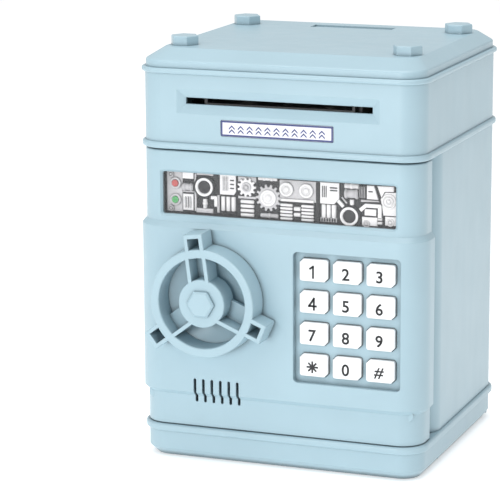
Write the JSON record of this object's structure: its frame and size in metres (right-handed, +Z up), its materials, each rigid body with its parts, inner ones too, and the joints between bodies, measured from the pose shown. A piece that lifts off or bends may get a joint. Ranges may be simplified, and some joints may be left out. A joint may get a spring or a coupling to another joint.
{
  "type": "toy safe coin bank",
  "caption": "Toy safe money box with a hinged front door, keypad, hand wheel, motor-fed banknote slot in the head and a coin slot in the lid.",
  "frame": {"origin": "middle of the cabinet's footprint, on the surface it stands on", "axes": "+Z up, +X to the right along the front, +Y into the depth, so the door faces -Y"},
  "size_m": [0.1356, 0.141, 0.1912],
  "materials": {
    "blue_abs": "satin",
    "white_abs": "gloss",
    "label_film": "satin",
    "clear_pane": "clear",
    "silver_print": "satin",
    "led_lens": "gloss",
    "silicone": "matte",
    "circuit_board": "satin",
    "black_plastic": "matte",
    "natural_nylon": "matte",
    "steel": "satin",
    "brass": "satin",
    "tyre_rubber": "matte",
    "roller_plastic": "matte",
    "spring_contact": "satin",
    "battery_wrap": "gloss"
  },
  "bodies": {
    "case": {"base_tray": "blue_abs", "case_screws": "steel", "body_shell": "blue_abs", "head_housing": "blue_abs", "head_floor": "blue_abs", "top_lid": "blue_abs", "lid_screws": "steel", "lid_bolt_caps": "blue_abs", "slot_label": "label_film", "bill_guide": "black_plastic", "feed_bracket_left": "black_plastic", "feed_bracket_right": "black_plastic", "feed_screws": "steel", "feed_motor": "steel", "ir_sensor": "black_plastic", "hinge_pins": "steel", "idler_axle": "steel"},
    "drive_roller": {"drive_shaft": "steel", "drive_tyres": "tyre_rubber", "drive_gear": "natural_nylon"},
    "pinch_roller": {"pinch_shaft": "steel", "pinch_wheels": "roller_plastic"},
    "compound": {"compound_gear": "natural_nylon"},
    "motor_rotor": {"motor_shaft": "steel", "motor_pinion": "brass"},
    "door": {"door_shell": "blue_abs", "door_inner_cover": "blue_abs", "cover_screws": "steel", "gear_window": "clear_pane", "mechanism_card": "silver_print", "status_leds": "led_lens", "keypad_mat": "silicone", "main_board": "circuit_board", "board_parts": "black_plastic", "speaker": "black_plastic", "solenoid": "steel", "battery_contacts": "spring_contact", "aa_batteries": "battery_wrap", "battery_door": "blue_abs", "battery_screw": "steel"},
    "handle": {"hand_wheel": "blue_abs", "wheel_cap": "blue_abs", "wheel_spindle": "steel", "latch_pinion": "natural_nylon", "spindle_clip": "steel"},
    "bolt": {"latch_bolt": "natural_nylon"},
    "plunger": {"solenoid_plunger": "steel"},
    "key_1_body": {"key_1": "white_abs"},
    "key_2_body": {"key_2": "white_abs"},
    "key_3_body": {"key_3": "white_abs"},
    "key_4_body": {"key_4": "white_abs"},
    "key_5_body": {"key_5": "white_abs"},
    "key_6_body": {"key_6": "white_abs"},
    "key_7_body": {"key_7": "white_abs"},
    "key_8_body": {"key_8": "white_abs"},
    "key_9_body": {"key_9": "white_abs"},
    "key_star_body": {"key_star": "white_abs"},
    "key_0_body": {"key_0": "white_abs"},
    "key_hash_body": {"key_hash": "white_abs"}
  },
  "joints": [
    {"name": "door_hinge", "type": "hinge", "parent": "case", "child": "door", "pos_m": [-0.06, -0.047, 0.0163], "axis": [0, 0, -1], "range_deg": [0, 105]},
    {"name": "handle_turn", "type": "hinge", "parent": "door", "child": "handle", "pos_m": [-0.0305, -0.06, 0.077], "axis": [0, -1, 0], "range_deg": [0, 70]},
    {"name": "bolt_slide", "type": "slide", "parent": "door", "child": "bolt", "axis": [1, 0, 0], "range_m": [0, 0.00734]},
    {"name": "plunger_slide", "type": "slide", "parent": "door", "child": "plunger", "axis": [0, 0, 1], "range_m": [0, 0.003]},
    {"name": "drive_spin", "type": "hinge", "parent": "case", "child": "drive_roller", "pos_m": [0, -0.044, 0.1599], "axis": [1, 0, 0], "continuous": true},
    {"name": "pinch_spin", "type": "hinge", "parent": "case", "child": "pinch_roller", "pos_m": [0, -0.044, 0.1691], "axis": [1, 0, 0], "continuous": true},
    {"name": "compound_spin", "type": "hinge", "parent": "case", "child": "compound", "pos_m": [0.04, -0.03295, 0.1627], "axis": [1, 0, 0], "continuous": true},
    {"name": "motor_spin", "type": "hinge", "parent": "case", "child": "motor_rotor", "pos_m": [0.038, -0.029, 0.152], "axis": [1, 0, 0], "continuous": true},
    {"name": "key_1_press", "type": "slide", "parent": "door", "child": "key_1_body", "axis": [0, 1, 0], "range_m": [0, 0.0012], "stiffness_N_per_m": 300, "springref_m": -0.001},
    {"name": "key_2_press", "type": "slide", "parent": "door", "child": "key_2_body", "axis": [0, 1, 0], "range_m": [0, 0.0012], "stiffness_N_per_m": 300, "springref_m": -0.001},
    {"name": "key_3_press", "type": "slide", "parent": "door", "child": "key_3_body", "axis": [0, 1, 0], "range_m": [0, 0.0012], "stiffness_N_per_m": 300, "springref_m": -0.001},
    {"name": "key_4_press", "type": "slide", "parent": "door", "child": "key_4_body", "axis": [0, 1, 0], "range_m": [0, 0.0012], "stiffness_N_per_m": 300, "springref_m": -0.001},
    {"name": "key_5_press", "type": "slide", "parent": "door", "child": "key_5_body", "axis": [0, 1, 0], "range_m": [0, 0.0012], "stiffness_N_per_m": 300, "springref_m": -0.001},
    {"name": "key_6_press", "type": "slide", "parent": "door", "child": "key_6_body", "axis": [0, 1, 0], "range_m": [0, 0.0012], "stiffness_N_per_m": 300, "springref_m": -0.001},
    {"name": "key_7_press", "type": "slide", "parent": "door", "child": "key_7_body", "axis": [0, 1, 0], "range_m": [0, 0.0012], "stiffness_N_per_m": 300, "springref_m": -0.001},
    {"name": "key_8_press", "type": "slide", "parent": "door", "child": "key_8_body", "axis": [0, 1, 0], "range_m": [0, 0.0012], "stiffness_N_per_m": 300, "springref_m": -0.001},
    {"name": "key_9_press", "type": "slide", "parent": "door", "child": "key_9_body", "axis": [0, 1, 0], "range_m": [0, 0.0012], "stiffness_N_per_m": 300, "springref_m": -0.001},
    {"name": "key_star_press", "type": "slide", "parent": "door", "child": "key_star_body", "axis": [0, 1, 0], "range_m": [0, 0.0012], "stiffness_N_per_m": 300, "springref_m": -0.001},
    {"name": "key_0_press", "type": "slide", "parent": "door", "child": "key_0_body", "axis": [0, 1, 0], "range_m": [0, 0.0012], "stiffness_N_per_m": 300, "springref_m": -0.001},
    {"name": "key_hash_press", "type": "slide", "parent": "door", "child": "key_hash_body", "axis": [0, 1, 0], "range_m": [0, 0.0012], "stiffness_N_per_m": 300, "springref_m": -0.001}
  ],
  "couplings": [
    {"joint": "bolt_slide", "follows": "handle_turn", "m_per_rad": 0.006},
    {"joint": "drive_spin", "follows": "compound_spin", "ratio": -0.46154},
    {"joint": "pinch_spin", "follows": "compound_spin", "ratio": 0.57692},
    {"joint": "motor_spin", "follows": "compound_spin", "ratio": -2.8}
  ]
}
